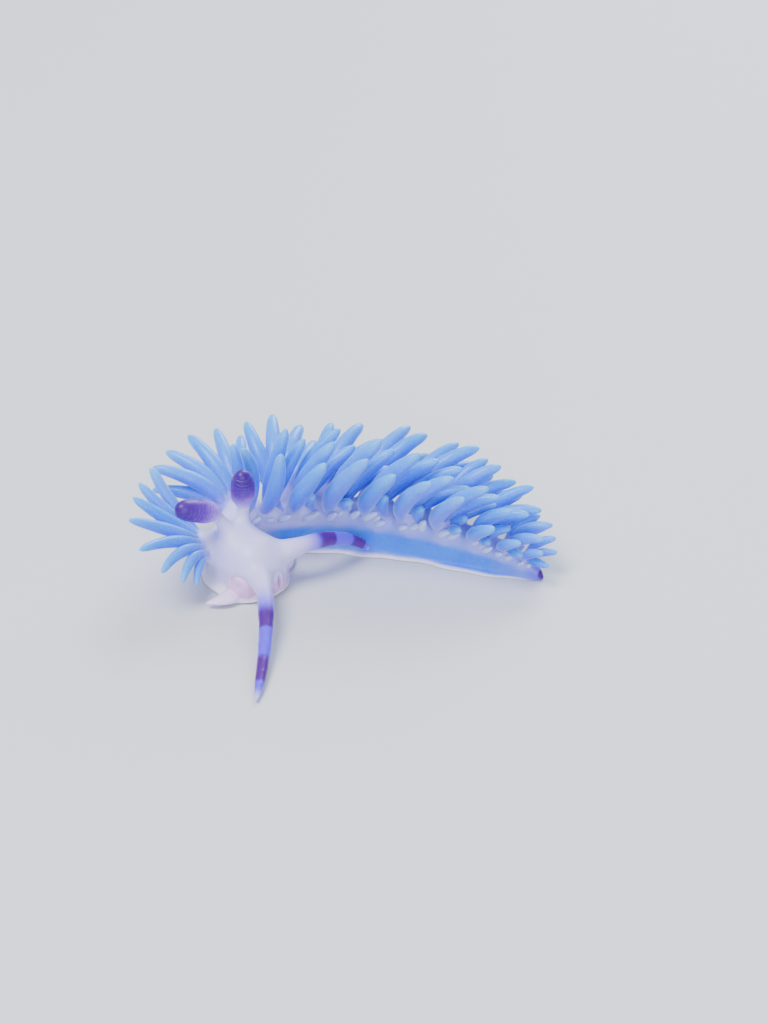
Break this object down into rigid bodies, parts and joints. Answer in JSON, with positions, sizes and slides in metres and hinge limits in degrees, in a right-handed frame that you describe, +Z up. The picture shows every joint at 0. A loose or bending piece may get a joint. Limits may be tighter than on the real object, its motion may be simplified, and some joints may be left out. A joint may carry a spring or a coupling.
{
  "type": "blue dragon sea slug",
  "caption": "Life-size still model of a blue dragon sea slug crawling with its head turned back, its sides lined with fans of blue finger-like gills.",
  "frame": {"origin": "on the floor, under the middle of the whole animal's box", "axes": "+Z up, +X towards the tail end and the picture's right, +Y away from the viewer of the picture"},
  "size_m": [0.0258, 0.0228, 0.0086],
  "materials": {
    "head_flesh": "wet, white-lavender, slightly see-through flesh",
    "body_flesh": "wet azure flesh, paler along the back and the edge of the foot",
    "tentacle_flesh": "wet pale violet flesh with deep purple bands",
    "rhinophore_flesh": "wet dark purple flesh, paler towards the root",
    "foot_flesh": "wet whitish flesh",
    "cerata_flesh": "wet light blue flesh with pale tips and violet shading"
  },
  "bodies": {
    "root": {"head": "head_flesh", "neck": "body_flesh", "trunk_front": "body_flesh", "trunk_middle": "body_flesh", "trunk_rear": "body_flesh", "tail": "body_flesh", "oral_tentacle_left_root": "tentacle_flesh", "oral_tentacle_left_middle": "tentacle_flesh", "oral_tentacle_left_tip": "tentacle_flesh", "oral_tentacle_right_root": "tentacle_flesh", "oral_tentacle_right_middle": "tentacle_flesh", "oral_tentacle_right_tip": "tentacle_flesh", "rhinophore_left": "rhinophore_flesh", "rhinophore_right": "rhinophore_flesh", "foot_corner_left": "foot_flesh", "foot_corner_right": "foot_flesh", "cerata_left_1": "cerata_flesh", "cerata_left_2": "cerata_flesh", "cerata_left_3": "cerata_flesh", "cerata_left_4": "cerata_flesh", "cerata_left_5": "cerata_flesh", "cerata_left_6": "cerata_flesh", "cerata_left_7": "cerata_flesh", "cerata_left_8": "cerata_flesh", "cerata_left_9": "cerata_flesh", "cerata_left_10": "cerata_flesh", "cerata_right_1": "cerata_flesh", "cerata_right_2": "cerata_flesh", "cerata_right_3": "cerata_flesh", "cerata_right_4": "cerata_flesh", "cerata_right_5": "cerata_flesh", "cerata_right_6": "cerata_flesh", "cerata_right_7": "cerata_flesh", "cerata_right_8": "cerata_flesh", "cerata_right_9": "cerata_flesh", "cerata_right_10": "cerata_flesh"}
  },
  "joints": []
}
